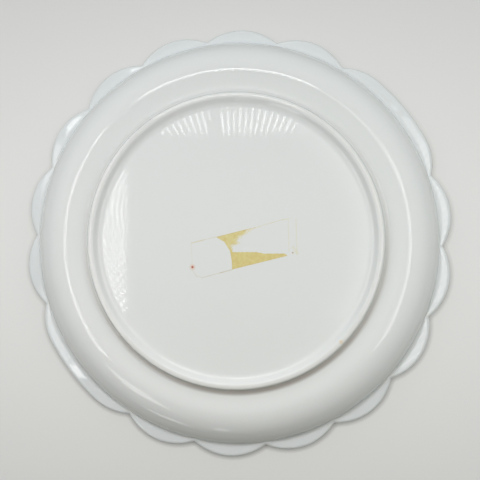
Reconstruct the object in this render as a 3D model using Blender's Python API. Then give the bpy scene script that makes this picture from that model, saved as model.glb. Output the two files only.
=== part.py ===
"""Deviled egg tray of pressed milk glass, standing on its foot ring with the egg wells up.

Metres, +Z up. The origin is the centre of the foot ring, on the surface that the tray stands on.
The glass is one closed skin, laid ring by ring: the underside from the base out to the rim, over the
scalloped edge, and back in across the land and the egg wells to the centre dish.
"""

from math import atan2, cos, hypot, pi, radians, sin

import bmesh
import bpy

# Scalloped rim. The other radii are counted inwards from its notches.
RIM_NOTCH_RADIUS = 0.1182
SCALLOP_DEPTH = 0.0058
RIM_THICKNESS = 0.0040
RIM_LEDGE = 0.0003
RIM_LIFT = 0.00055
SCALLOP_UNITS = 18
OVERALL_HEIGHT = 0.0220

# Underside: wall, the bulge where it hangs lowest, the groove beside the foot, the foot and the base.
WALL_RUN = 0.0195
BULGE_DROP = 0.0024
GROOVE_RUN = 0.0108
GROOVE_SINK = 0.0010
GROOVE_POWER = 0.75
COVE_RUN = 0.0028
COVE_RISE = 0.0022
FOOT_HEIGHT = 0.0046
FOOT_FLANK_RUN = 0.0016
FOOT_EDGE_ROUND = 0.0004
FOOT_CREST_WIDTH = 0.0023
FOOT_INNER_RUN = 0.0033
FOOT_DEPTH = 0.0032

# Top: rim bevel, land between the wells, egg wells and centre dish.
WALL_THICKNESS = 0.0052
RIM_BEVEL_RUN = 0.0040
RIM_BEVEL_DROP = 0.0030
LAND_FALL = 0.0036
WELL_COUNT = 12
WELL_LENGTH = 0.0530
WELL_RIDGE = 0.0028
WELL_TAPER = 0.6
WELL_MARGIN = 0.0036
WELL_LIP_WIDTH = 0.0010
WELL_LIP_DROP = 0.0005
WELL_FLOOR_THICKNESS = 0.0046
WELL_BOWL_POWER = 2.4
CENTRE_LAND = 0.0050
CENTRE_SLOPE_RUN = 0.0065
CENTRE_THICKNESS = 0.0058

# Adhesive film left by a label on the base, outlined along (u) and across (v) the former label.
FILM_CENTRE_X = 0.0015
FILM_CENTRE_Y = 0.0072
FILM_ANGLE = radians(24.3)
FILM_THICKNESS = 0.0002
FILM_GAP = 0.0003
FILM_OUTLINE = (
    (-0.0138, 0.0099), (0.0150, 0.0099), (0.0065, 0.0088), (0.0018, 0.0069), (-0.0022, 0.0051),
    (-0.0010, 0.0033), (-0.0060, 0.0022), (-0.0071, -0.0004), (0.0057, -0.0036), (0.0106, -0.0057),
    (0.0208, -0.0082), (0.0220, -0.0097), (-0.0094, -0.0097), (-0.0085, -0.0051), (-0.0081, 0.0006),
    (-0.0099, 0.0061),
)

# Points around each kind of ring and steps along each curved stretch.
TURNED_POINTS = 72
SCALLOP_POINTS = 8
RIM_EDGE_STEPS = 4
WALL_STEPS = 8
GROOVE_STEPS = 4
COVE_STEPS = 3
CENTRE_STEPS = 4
WELL_OUTER_POINTS = 8
WELL_INNER_POINTS = 4
WELL_SIDE_POINTS = 8
WELL_BOWL_SHARES = (0.9, 0.75, 0.55, 0.3)
SMOOTH_ANGLE = radians(35)

# Radii and heights that follow from the sizes above.
RIM_CROWN_RADIUS = RIM_NOTCH_RADIUS + SCALLOP_DEPTH
RIM_ROUND = RIM_THICKNESS / 2
RIM_UNDER_Z = OVERALL_HEIGHT - RIM_THICKNESS
WALL_RADIUS = RIM_NOTCH_RADIUS - RIM_ROUND - RIM_LEDGE
BULGE_RADIUS = WALL_RADIUS - WALL_RUN
GROOVE_Z = FOOT_HEIGHT + GROOVE_SINK
BULGE_Z = GROOVE_Z - BULGE_DROP
GROOVE_RADIUS = BULGE_RADIUS - GROOVE_RUN
FLANK_RADIUS = GROOVE_RADIUS - COVE_RUN
CREST_OUTER_RADIUS = FLANK_RADIUS - FOOT_FLANK_RUN - FOOT_EDGE_ROUND
CREST_INNER_RADIUS = CREST_OUTER_RADIUS - FOOT_CREST_WIDTH
BASE_RADIUS = CREST_INNER_RADIUS - FOOT_EDGE_ROUND - FOOT_INNER_RUN
LAND_OUTER_RADIUS = WALL_RADIUS - WALL_THICKNESS
LAND_OUTER_Z = OVERALL_HEIGHT - RIM_BEVEL_DROP
WELL_RADIUS = LAND_OUTER_RADIUS - WELL_MARGIN - WELL_LENGTH / 2
WELL_FLOOR_Z = FOOT_HEIGHT + WELL_FLOOR_THICKNESS
LAND_INNER_RADIUS = WELL_RADIUS - WELL_LENGTH / 2 - CENTRE_LAND
CENTRE_FLOOR_Z = FOOT_DEPTH + CENTRE_THICKNESS


def ease(share):
    """Share of a rise at a share of its run, level at both ends."""
    return share * share * (3 - 2 * share)


def scallop_radius(angle):
    """Rim outline: arcs from notch to notch, and a wide scallop over each grip at 0 and 180 degrees."""
    unit = 2 * pi / SCALLOP_UNITS
    from_grip = abs((angle + pi / 2) % pi - pi / 2)
    if from_grip < unit:
        from_crown = max(0.0, from_grip - unit / 2)
    else:
        from_crown = from_grip % unit - unit / 2
    notch_x = RIM_NOTCH_RADIUS * cos(unit / 2)
    arc_centre = (RIM_CROWN_RADIUS**2 - RIM_NOTCH_RADIUS**2) / (2 * (RIM_CROWN_RADIUS - notch_x))
    arc_radius = RIM_CROWN_RADIUS - arc_centre
    reach = arc_centre * sin(from_crown)
    return arc_centre * cos(from_crown) + (arc_radius**2 - reach**2) ** 0.5


def land_height(radius):
    """Height of the land, which falls evenly from the rim towards the centre dish."""
    share = (LAND_OUTER_RADIUS - radius) / (LAND_OUTER_RADIUS - LAND_INNER_RADIUS)
    return LAND_OUTER_Z - LAND_FALL * share


def underside_profile():
    """Radius and height of each turned ring of the underside, from the edge of the base to the rim."""
    profile = [
        (BASE_RADIUS, FOOT_DEPTH),
        (CREST_INNER_RADIUS - FOOT_EDGE_ROUND, FOOT_EDGE_ROUND),
        (CREST_INNER_RADIUS, 0.0),
        (CREST_OUTER_RADIUS, 0.0),
        (CREST_OUTER_RADIUS + FOOT_EDGE_ROUND, FOOT_EDGE_ROUND),
    ]
    cove_rise = min(COVE_RISE, GROOVE_Z / 2)
    for i in range(COVE_STEPS + 1):
        turn = pi / 2 * i / COVE_STEPS
        radius = FLANK_RADIUS + COVE_RUN * (1 - cos(turn))
        profile.append((radius, GROOVE_Z - cove_rise * (1 - sin(turn))))
    for i in range(1, GROOVE_STEPS + 1):
        share = i / GROOVE_STEPS
        drop = BULGE_DROP * ease(share**GROOVE_POWER)
        profile.append((GROOVE_RADIUS + GROOVE_RUN * share, GROOVE_Z - drop))
    wall_turn = 2 * atan2(RIM_UNDER_Z - BULGE_Z, WALL_RUN)
    wall_curve = WALL_RUN / sin(wall_turn)
    for i in range(1, WALL_STEPS + 1):
        turn = wall_turn * i / WALL_STEPS
        profile.append((BULGE_RADIUS + wall_curve * sin(turn), BULGE_Z + wall_curve * (1 - cos(turn))))
    return profile


def angles(count):
    """Angles of a ring's points, from +X."""
    return [2 * pi * i / count for i in range(count)]


def turned_ring(bm, radius, height, count):
    """A round loop of points about the axis."""
    return [bm.verts.new((radius * cos(a), radius * sin(a), height)) for a in angles(count)]


def scalloped_ring(bm, inset, share):
    """A loop along the rim's scallops, drawn in by the inset, at a share of the rim's thickness.

    The underside of the rim hangs a little lower at the crowns than at the notches.
    """
    ring = []
    for a in angles(SCALLOP_UNITS * SCALLOP_POINTS):
        outline = scallop_radius(a)
        under_z = RIM_UNDER_Z - RIM_LIFT * (outline - RIM_NOTCH_RADIUS) / SCALLOP_DEPTH
        radius = outline - inset
        height = under_z + (OVERALL_HEIGHT - under_z) * share
        ring.append(bm.verts.new((radius * cos(a), radius * sin(a), height)))
    return ring


def skin(bm, first, second):
    """Faces between two loops that start together and run the same way, with any number of points."""
    i = 0
    j = 0
    while i < len(first) or j < len(second):
        a = first[i % len(first)]
        b = second[j % len(second)]
        if (i + 1) * len(second) <= (j + 1) * len(first):
            i += 1
            bm.faces.new((a, first[i % len(first)], b))
        else:
            j += 1
            bm.faces.new((a, second[j % len(second)], b))


def close(bm, ring, height):
    """Faces from a loop to one point at the middle of it."""
    middle_x = sum(v.co.x for v in ring) / len(ring)
    middle_y = sum(v.co.y for v in ring) / len(ring)
    middle = bm.verts.new((middle_x, middle_y, height))
    for i, vert in enumerate(ring):
        bm.faces.new((vert, ring[(i + 1) % len(ring)], middle))


def lay_underside(bm):
    """Base, foot, groove and wall; returns the ring where the wall meets the rim."""
    rings = [turned_ring(bm, radius, z, TURNED_POINTS) for radius, z in underside_profile()]
    close(bm, rings[0], FOOT_DEPTH)
    for first, second in zip(rings, rings[1:]):
        skin(bm, first, second)
    return rings[-1]


def lay_rim(bm, wall_ring):
    """Scalloped rim with a fully rounded edge; returns the ring where the rim's bevel meets the land."""
    last = wall_ring
    for i in range(RIM_EDGE_STEPS + 1):
        turn = pi * i / RIM_EDGE_STEPS - pi / 2
        inset = RIM_ROUND * (1 - cos(turn))
        edge = scalloped_ring(bm, inset, (1 + sin(turn)) / 2)
        skin(bm, last, edge)
        last = edge
    rim_points = SCALLOP_UNITS * SCALLOP_POINTS
    inner_edge = turned_ring(bm, LAND_OUTER_RADIUS + RIM_BEVEL_RUN, OVERALL_HEIGHT, rim_points)
    skin(bm, last, inner_edge)
    land_edge = turned_ring(bm, LAND_OUTER_RADIUS, LAND_OUTER_Z, WELL_COUNT * WELL_OUTER_POINTS)
    skin(bm, inner_edge, land_edge)
    return land_edge


def lay_ridges(bm):
    """Points along the crest between neighbouring wells, from the rim side inwards."""
    ridges = []
    for a in angles(WELL_COUNT):
        ridge = []
        for i in range(1, WELL_SIDE_POINTS):
            radius = LAND_OUTER_RADIUS + (LAND_INNER_RADIUS - LAND_OUTER_RADIUS) * i / WELL_SIDE_POINTS
            ridge.append(bm.verts.new((radius * cos(a), radius * sin(a), land_height(radius))))
        ridges.append(ridge)
    return ridges


def well_point(turn, share, axis):
    """Plan position at a share of the way from a well's middle to its egg-shaped outline."""
    reach = WELL_LENGTH / 2 * cos(turn)
    half_width = (WELL_RADIUS + WELL_TAPER * reach) * sin(pi / WELL_COUNT) - WELL_RIDGE / 2
    along = WELL_RADIUS + share * reach
    across = share * half_width * sin(turn)
    return along * cos(axis) - across * sin(axis), along * sin(axis) + across * cos(axis)


def lay_well(bm, border, axis):
    """One egg well: a lip inside its stretch of land, then a bowl with a rounded floor."""
    half_width = WELL_RADIUS * sin(pi / WELL_COUNT) - WELL_RIDGE / 2
    turns = []
    for vert in border:
        along = vert.co.x * cos(axis) + vert.co.y * sin(axis) - WELL_RADIUS
        across = vert.co.y * cos(axis) - vert.co.x * sin(axis)
        turns.append(atan2(across / half_width, along / (WELL_LENGTH / 2)))
    last = border
    for share in (1 + WELL_LIP_WIDTH / half_width, 1.0) + WELL_BOWL_SHARES:
        loop = []
        for turn in turns:
            x, y = well_point(turn, share, axis)
            lip_x, lip_y = well_point(turn, max(share, 1.0), axis)
            z = land_height(hypot(lip_x, lip_y))
            if share <= 1:
                z = WELL_FLOOR_Z + (z - WELL_LIP_DROP - WELL_FLOOR_Z) * share**WELL_BOWL_POWER
            loop.append(bm.verts.new((x, y, z)))
        skin(bm, last, loop)
        last = loop
    close(bm, last, WELL_FLOOR_Z)


def lay_top(bm, land_edge):
    """Land, egg wells and centre dish, inside the rim's bevel."""
    inner_edge = turned_ring(bm, LAND_INNER_RADIUS, land_height(LAND_INNER_RADIUS),
                             WELL_COUNT * WELL_INNER_POINTS)
    ridges = lay_ridges(bm)
    for k in range(WELL_COUNT):
        outer = [land_edge[(k * WELL_OUTER_POINTS + i) % len(land_edge)]
                 for i in range(WELL_OUTER_POINTS + 1)]
        inner = [inner_edge[(k * WELL_INNER_POINTS + i) % len(inner_edge)]
                 for i in range(WELL_INNER_POINTS + 1)]
        far_ridge = ridges[(k + 1) % WELL_COUNT]
        border = outer + far_ridge + inner[::-1] + ridges[k][::-1]
        lay_well(bm, border, 2 * pi * (k + 0.5) / WELL_COUNT)
    last = inner_edge
    for i in range(1, CENTRE_STEPS + 1):
        share = i / CENTRE_STEPS
        start_z = land_height(LAND_INNER_RADIUS)
        z = start_z + (CENTRE_FLOOR_Z - start_z) * ease(share)
        ring = turned_ring(bm, LAND_INNER_RADIUS - CENTRE_SLOPE_RUN * share, z, len(inner_edge))
        skin(bm, last, ring)
        last = ring
    close(bm, last, CENTRE_FLOOR_Z)


def principled(name, colour, roughness):
    """A plain Principled material."""
    material = bpy.data.materials.new(name)
    material.use_nodes = True
    shader = material.node_tree.nodes["Principled BSDF"]
    shader.inputs["Base Color"].default_value = (*colour, 1.0)
    shader.inputs["Roughness"].default_value = roughness
    shader.inputs["Metallic"].default_value = 0.0
    return material


def add_object(name, bm, material):
    """An object from a finished bmesh, with its faces pointing out."""
    bmesh.ops.recalc_face_normals(bm, faces=bm.faces)
    mesh = bpy.data.meshes.new(name)
    bm.to_mesh(mesh)
    bm.free()
    mesh.shade_smooth()
    mesh.set_sharp_from_angle(angle=SMOOTH_ANGLE)
    mesh.materials.append(material)
    piece = bpy.data.objects.new(name, mesh)
    bpy.context.scene.collection.objects.link(piece)
    return piece


def make_tray():
    """The glass tray as one closed skin."""
    bm = bmesh.new()
    wall_ring = lay_underside(bm)
    land_edge = lay_rim(bm, wall_ring)
    lay_top(bm, land_edge)
    return add_object("egg_tray", bm, principled("milk_glass", (0.73, 0.75, 0.73), 0.12))


def make_label_film(tray):
    """The thin film under the base, face down, its outline seen upright from below."""
    bm = bmesh.new()
    outline = bm.faces.new([bm.verts.new((u, v, 0.0)) for u, v in FILM_OUTLINE])
    grown = bmesh.ops.extrude_face_region(bm, geom=[outline])
    raised = [item for item in grown["geom"] if isinstance(item, bmesh.types.BMVert)]
    bmesh.ops.translate(bm, verts=raised, vec=(0.0, 0.0, FILM_THICKNESS))
    film = add_object("label_residue", bm, principled("aged_adhesive", (0.62, 0.54, 0.25), 0.45))
    film.location = (FILM_CENTRE_X, FILM_CENTRE_Y, FOOT_DEPTH - FILM_GAP)
    film.rotation_euler = (pi, 0.0, FILM_ANGLE)
    film.parent = tray
    return film


def main():
    """Clear the scene and make the tray and the film on its base."""
    for old in list(bpy.data.objects):
        bpy.data.objects.remove(old)
    make_label_film(make_tray())


main()
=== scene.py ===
"""Looks of a pressed milk-glass egg tray that lies upside down on a pale table.

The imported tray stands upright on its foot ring, +Z up, in metres. The photograph shows its underside from
above, so here the camera looks up at it from below. The table is a plane across the rim that shows from below
only, and a floor under the foot shows from above only, so that the upright tray also stands on something.
"""
import logging
from collections.abc import Iterable, Sequence
from dataclasses import dataclass, field
from enum import Enum
from math import atan2, cos, hypot, pi, radians, sin

import bmesh
import bpy
from mathutils import Matrix, Vector, noise


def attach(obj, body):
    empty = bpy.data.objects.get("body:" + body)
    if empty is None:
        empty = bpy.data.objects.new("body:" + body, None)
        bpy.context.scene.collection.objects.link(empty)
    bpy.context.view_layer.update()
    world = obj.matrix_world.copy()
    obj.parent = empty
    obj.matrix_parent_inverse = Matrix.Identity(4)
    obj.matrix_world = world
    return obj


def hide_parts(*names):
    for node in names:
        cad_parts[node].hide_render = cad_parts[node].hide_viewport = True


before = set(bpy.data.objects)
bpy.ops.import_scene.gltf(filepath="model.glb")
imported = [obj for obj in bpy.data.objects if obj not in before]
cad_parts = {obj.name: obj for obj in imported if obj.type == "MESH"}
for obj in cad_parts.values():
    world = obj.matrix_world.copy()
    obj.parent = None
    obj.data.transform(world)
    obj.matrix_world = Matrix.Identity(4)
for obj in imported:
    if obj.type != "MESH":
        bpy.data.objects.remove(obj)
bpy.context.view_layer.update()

LOG = logging.getLogger("egg_tray")
Pair = tuple[float, float]
Point = tuple[float, float, float]
Socket = bpy.types.NodeSocket
Tree = bpy.types.NodeTree
Layer = tuple[Socket, str]

MM = 0.001
PHOTO_WIDTH = 480
GRIP_AXIS_IN_PHOTO = radians(38.29)


class Side(Enum):
    """Where a stage plane shows from, by the order of its corners."""

    FROM_BELOW = (3, 2, 1, 0)
    FROM_ABOVE = (0, 1, 2, 3)


def linear(hex_code: str) -> tuple[float, float, float, float]:
    """Turn an sRGB hex colour into linear light.

    Args:
        hex_code: six hex digits after a hash sign.

    Returns:
        Red, green, blue and an alpha of 1.
    """
    values = [int(hex_code[i:i + 2], 16) / 255 for i in (1, 3, 5)]
    light = [v / 12.92 if v <= 0.04045 else ((v + 0.055) / 1.055) ** 2.4 for v in values]
    return (*light, 1.0)


def add_node(tree: Tree, kind: str, inputs: dict[str | int, object] | None = None, output: str | int = 0,
             **settings: object) -> Socket:
    """Add a shader node with its settings and links.

    Args:
        tree: node tree that takes the node.
        kind: Blender's node type, without ShaderNode in front.
        inputs: sockets to link, or values to set, by input name or number.
        output: the output that is wanted, by name or number.
        **settings: attributes of the node.

    Returns:
        That output of the new node.
    """
    made = tree.nodes.new("ShaderNode" + kind)
    for name, value in settings.items():
        setattr(made, name, value)
    for key, value in (inputs or {}).items():
        if isinstance(value, Socket):
            tree.links.new(value, made.inputs[key])
        else:
            made.inputs[key].default_value = value
    return made.outputs[output]


def line_distance(tree: Tree, place: Socket, start: Sequence[float], end: Sequence[float]) -> Socket:
    """Distance from a straight line on the label.

    Args:
        tree: the material's nodes.
        place: position in the label's frame.
        start: where the line starts, in millimetres along and across the label.
        end: where it ends.

    Returns:
        The distance in metres.
    """
    origin = Vector((*start[:2], 0.0)) * MM
    run = Vector((*end[:2], 0.0)) * MM - origin
    way = run / run.length_squared
    rel = add_node(tree, "VectorMath", {0: place, 1: origin}, operation="SUBTRACT")
    share = add_node(tree, "VectorMath", {0: rel, 1: way}, "Value", operation="DOT_PRODUCT")
    share = add_node(tree, "Clamp", {0: share})
    nearest = add_node(tree, "VectorMath", {0: run, "Scale": share}, operation="SCALE")
    return add_node(tree, "VectorMath", {0: rel, 1: nearest}, "Value", operation="DISTANCE")


def link_object(name: str, data: bpy.types.ID) -> bpy.types.Object:
    """Make an object and link it to the scene.

    Args:
        name: the object's name.
        data: its mesh, lamp or camera.

    Returns:
        The object.
    """
    made = bpy.data.objects.new(name, data)
    bpy.context.scene.collection.objects.link(made)
    return made


def ease(share: float) -> float:
    """Share of a rise at a share of its run, level at both ends."""
    return share * share * (3 - 2 * share)


def photo_frame(rim_plane: float) -> Matrix:
    """Frame of the photographed table: right, ahead and up off the table, from the middle of the rim.

    Args:
        rim_plane: height of the rim's flat top, which lies on the table.

    Returns:
        The matrix from that frame to the tray's own frame.
    """
    a = GRIP_AXIS_IN_PHOTO
    turn = Matrix(((cos(a), sin(a), 0.0), (sin(a), -cos(a), 0.0), (0.0, 0.0, -1.0))).to_4x4()
    return Matrix.Translation((0.0, 0.0, rim_plane)) @ turn


@dataclass
class Skin:
    """Points and faces of one closed surface, laid loop by loop."""

    points: list[Point] = field(default_factory=list)
    faces: list[tuple[int, ...]] = field(default_factory=list)

    def loop(self, points: Iterable[Point]) -> list[int]:
        """Add a loop of points.

        Args:
            points: positions along the loop.

        Returns:
            The numbers of the new points.
        """
        start = len(self.points)
        self.points.extend(points)
        return list(range(start, len(self.points)))

    def bridge(self, last: Sequence[int], points: Iterable[Point]) -> list[int]:
        """Add a loop of points and lay quads between the loop before and it.

        Args:
            last: point numbers of the loop before.
            points: positions along the new loop, in step with the loop before.

        Returns:
            The numbers of the new points.
        """
        new = self.loop(points)
        for i in range(len(new)):
            j = (i + 1) % len(new)
            self.faces.append((last[i], last[j], new[j], new[i]))
        return new

    def cap(self, ring: Sequence[int], middle: Point) -> None:
        """Close a loop with a fan of faces.

        Args:
            ring: point numbers of the loop.
            middle: the point that all its faces share.
        """
        centre = len(self.points)
        self.points.append(middle)
        for i, number in enumerate(ring):
            self.faces.append((number, ring[(i + 1) % len(ring)], centre))

    def to_object(self, name: str, material: bpy.types.Material) -> bpy.types.Object:
        """Make a smooth-shaded object with its faces pointing out.

        Args:
            name: the piece's name.
            material: its finish.

        Returns:
            The object, linked to the scene.
        """
        mesh = bpy.data.meshes.new(name)
        mesh.from_pydata(self.points, [], self.faces)
        bm = bmesh.new()
        bm.from_mesh(mesh)
        bmesh.ops.recalc_face_normals(bm, faces=bm.faces)
        bm.to_mesh(mesh)
        bm.free()
        mesh.shade_smooth()
        mesh.materials.append(material)
        return link_object(name, mesh)


@dataclass(frozen=True)
class Trace:
    """A straight faint line, in millimetres along and across the label."""

    start: Pair
    end: Pair
    width: float
    colour: str
    strength: float


@dataclass(frozen=True)
class LabelMark:
    """Where a paper label, cut askew, once sat on the base, the faint lines of its edges, and its film.

    The film's outline gives each corner's place along and across the label, and how ragged the edge after it
    is, in millimetres. Between the torn corners the paper took fibres of the film with it.
    """

    centre: Pair = (1.5 * MM, 7.2 * MM)
    angle: float = radians(24.3)
    width: float = 20.2 * MM
    traces: tuple[Trace, ...] = (
        Trace((-27.9, 10.0), (-21.0, 10.0), 0.5, "#CDC184", 0.75),
        Trace((-21.0, 10.0), (-13.8, 9.95), 0.3, "#C8BD8C", 0.6),
        Trace((13.0, 9.9), (24.5, 10.2), 0.35, "#D0C384", 0.6),
        Trace((-27.9, 10.0), (-30.9, -4.5), 0.4, "#D8CDB4", 0.35),
        Trace((-30.9, -4.5), (-29.6, -8.4), 0.35, "#C9BC9C", 0.45),
        Trace((-29.6, -8.4), (-26.5, -10.1), 0.35, "#C9BC9C", 0.45),
        Trace((-26.5, -10.1), (-16.0, -9.9), 0.35, "#C4B898", 0.6),
        Trace((-16.0, -9.9), (-9.4, -9.75), 0.4, "#B8A97E", 0.8),
        Trace((27.2, 9.2), (23.4, -7.6), 0.6, "#DAD5AC", 0.35),
        Trace((31.4, 8.6), (27.6, -8.6), 0.6, "#D9D3A8", 0.40),
        Trace((26.2, -6.0), (27.4, -9.8), 1.6, "#D9D1A6", 0.40),
        Trace((24.5, 10.2), (28.4, 9.8), 0.6, "#D9D3A6", 0.40),
    )
    film_outline: tuple[Point, ...] = (
        (-13.8, 9.9, 0.05), (15.0, 9.9, 0.35), (6.5, 8.8, 0.9), (1.8, 6.9, 1.0), (-2.2, 5.1, 0.8),
        (-1.0, 3.3, 0.6), (-6.0, 2.2, 0.3), (-7.1, -0.4, 0.2), (5.7, -3.6, 0.25), (10.6, -5.7, 0.25),
        (20.8, -8.2, 0.2), (22.0, -9.7, 0.05), (-9.4, -9.7, 0.1), (-8.5, -5.1, 0.15), (-8.1, 0.6, 0.3),
        (-9.9, 6.1, 0.3),
    )
    torn_corners: tuple[int, int] = (1, 7)

    def matrix(self, base_z: float) -> Matrix:
        """Frame of the label: along it, across it and out of the base, from its middle.

        Args:
            base_z: height of the base.

        Returns:
            The matrix from the label's frame to the tray's frame.
        """
        place = Matrix.Translation((*self.centre, base_z))
        return place @ Matrix.Rotation(self.angle, 4, "Z") @ Matrix.Rotation(pi, 4, "X")

    def spot(self, along: float, across: float) -> Pair:
        """Plan position of a point of the label, in the tray's frame."""
        return tuple(self.matrix(0.0) @ Vector((along, across, 0.0)))[:2]


@dataclass(frozen=True)
class Speck:
    """A small stain on the underside, round with a soft edge."""

    spot: Pair
    radius: float
    colour: str
    strength: float
    core: float = 0.3


@dataclass(frozen=True)
class MilkGlass:
    """Opal soda-lime glass, pressed and fire-polished.

    The eye sees a cool white that light enters a few millimetres, a wet gloss that wobbles where the mould
    was turned, a bluer cast at the thin rim, painted light that makes the root of the rim paler where the
    wall shades it, painted shade with a little dirt in the groove beside the foot, most of it on the near
    side, and a foot that is dulled and stained where it has stood.
    """

    body: str = "#DEE0DD"
    thin: str = "#DDE1E0"
    # Painted light: a paler band at the root of the rim, where the wall shades the rim.
    rim_root_light: str = "#E3E7E6"
    root_light_band: tuple[float, ...] = (-0.1 * MM, 0.1 * MM, 0.8 * MM, 5.5 * MM)
    # Painted shade with a little brownish dirt in the groove beside the foot, heaviest on the near side,
    # where the foot shades the groove from the far lamps.
    groove_dirt_and_shade: str = "#A0968A"
    shade_side: Point = (-0.451, 0.893, 0.0)
    shade_band_inner: Pair = (0.9 * MM, 0.5 * MM)
    shade_band_outer: Pair = (-0.8 * MM, 1.0 * MM)
    shade_band_top: float = 1.0 * MM
    shade_least: float = 0.10
    shade_most: float = 0.56
    foot_wear: str = "#DCDCD8"
    wear_grain: float = 4.0 * MM
    wear_uneven: float = 0.5 * MM
    wear_full: float = 0.10 * MM
    wear_end: float = 0.60 * MM
    ior: float = 1.51
    gloss: float = 0.035
    worn_gloss: float = 0.07
    scatter: float = 0.06
    scatter_tint: Point = (1.0, 0.95, 0.9)
    scatter_depth: float = 2.0 * MM
    base_turning: float = 1.7 * MM
    slope_turning: float = 0.9 * MM
    turning_height: float = 0.0012 * MM
    turning_fade: float = 1.0 * MM
    wobble_width: float = 14.0 * MM
    wobble_height: float = 0.004 * MM
    trace_grain: float = 3.0 * MM
    trace_roughness: float = 0.65
    trace_gaps: Pair = (0.30, 0.58)
    trace_least: float = 0.35
    trace_blur: float = 0.15 * MM

    def build(self, shape: "TrayShape", mark: LabelMark, specks: Sequence[Speck]) -> bpy.types.Material:
        """Make the material.

        Args:
            shape: the tray's sizes, which place the rim, foot and base.
            mark: the label's place on the base.
            specks: small stains, the lower ones first.

        Returns:
            The finished material.
        """
        material = bpy.data.materials.new("milk_glass_pressed")
        material.use_nodes = True
        tree = material.node_tree
        shader = tree.nodes["Principled BSDF"].inputs
        shader["IOR"].default_value = self.ior
        shader["Subsurface Weight"].default_value = self.scatter
        shader["Subsurface Radius"].default_value = self.scatter_tint
        shader["Subsurface Scale"].default_value = self.scatter_depth
        place = add_node(tree, "TexCoord", output="Object")
        height = add_node(tree, "SeparateXYZ", {0: place}, "Z")
        flat = add_node(tree, "VectorMath", {0: place, 1: (1.0, 1.0, 0.0)}, operation="MULTIPLY")
        radius = add_node(tree, "VectorMath", {0: flat}, "Value", operation="LENGTH")
        under = add_node(tree, "Math", {0: height, 1: shape.foot_height}, operation="LESS_THAN")
        thin = add_node(tree, "MapRange", {0: radius, 1: shape.bulge_radius, 2: shape.crown_radius},
                        interpolation_type="SMOOTHSTEP")
        # Painted light: the root of the rim is made paler where the wall shades it.
        root = self.band(tree, radius, *(shape.wall_radius + offset for offset in self.root_light_band))
        # Painted shade, with a little dirt, in the groove beside the foot.
        groove_shadow = self.groove_shadow(tree, shape, flat, radius, height)
        worn = self.foot_mask(tree, shape, radius, height, place)
        layers = [(thin, self.thin), (root, self.rim_root_light), (groove_shadow, self.groove_dirt_and_shade), (worn, self.foot_wear)]
        layers += self.label_traces(tree, mark, flat, under)
        layers += [(self.stain(tree, speck, flat, under), speck.colour) for speck in specks]
        colour: Socket | tuple[float, ...] = linear(self.body)
        for mask, tint in layers:
            colour = add_node(tree, "Mix", {0: mask, 6: colour, 7: linear(tint)}, 2, data_type="RGBA")
        tree.links.new(colour, shader["Base Color"])
        rough = add_node(tree, "MapRange", {0: worn, 3: self.gloss, 4: self.worn_gloss})
        tree.links.new(rough, shader["Roughness"])
        tree.links.new(self.relief(tree, shape, radius, under, place), shader["Normal"])
        return material

    def band(self, tree: Tree, radius: Socket, start: float, full: float, fade: float, end: float) -> Socket:
        """Mask of a band around the axis.

        Args:
            tree: the material's nodes.
            radius: distance from the axis.
            start: radius where the band starts.
            full: radius where it is full.
            fade: radius where it starts to fade.
            end: radius where it ends.

        Returns:
            A value of 1 within the band.
        """
        inner = add_node(tree, "MapRange", {0: radius, 1: start, 2: full})
        outer = add_node(tree, "MapRange", {0: radius, 1: end, 2: fade})
        return add_node(tree, "Math", {0: inner, 1: outer}, operation="MULTIPLY")

    def groove_shadow(self, tree: Tree, shape: "TrayShape", flat: Socket, radius: Socket, height: Socket) -> Socket:
        """Mask of the painted shade, with a little dirt, in the groove outside the foot.

        Args:
            tree: the material's nodes.
            shape: the tray's sizes.
            flat: position in plan.
            radius: distance from the axis.
            height: height above the table that the foot stands on.

        Returns:
            How much grime there is, most of it on the grime's own side.
        """
        mask = self.band(tree, radius, shape.crest_outer + self.shade_band_inner[0],
                         shape.flank_radius + self.shade_band_inner[1], shape.groove_radius + self.shade_band_outer[0],
                         shape.groove_radius + self.shade_band_outer[1])
        way = Vector(self.shade_side) / shape.groove_radius
        share = add_node(tree, "VectorMath", {0: flat, 1: way}, "Value", operation="DOT_PRODUCT")
        amount = add_node(tree, "MapRange", {0: share, 3: self.shade_least, 4: self.shade_most})
        below = add_node(tree, "Math", {0: height, 1: shape.groove_height + self.shade_band_top},
                         operation="LESS_THAN")
        for part in (amount, below):
            mask = add_node(tree, "Math", {0: mask, 1: part}, operation="MULTIPLY")
        return mask

    def foot_mask(self, tree: Tree, shape: "TrayShape", radius: Socket, height: Socket,
                  place: Socket) -> Socket:
        """Mask of the worn crest of the foot ring.

        Args:
            tree: the material's nodes.
            shape: the tray's sizes.
            radius: distance from the axis.
            height: height above the table that the foot stands on.
            place: position on the tray.

        Returns:
            A value of 1 on the crest, uneven at its edges.
        """
        grain = add_node(tree, "TexNoise", {"Vector": place, "Scale": 1 / self.wear_grain, "Detail": 4.0})
        reach = add_node(tree, "Math", {0: grain, 1: self.wear_uneven, 2: height}, operation="MULTIPLY_ADD")
        low = add_node(tree, "MapRange", {0: reach, 1: self.wear_end, 2: self.wear_full},
                       interpolation_type="SMOOTHSTEP")
        inside = add_node(tree, "Math", {0: radius, 1: shape.groove_radius}, operation="LESS_THAN")
        return add_node(tree, "Math", {0: low, 1: inside}, operation="MULTIPLY")

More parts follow.
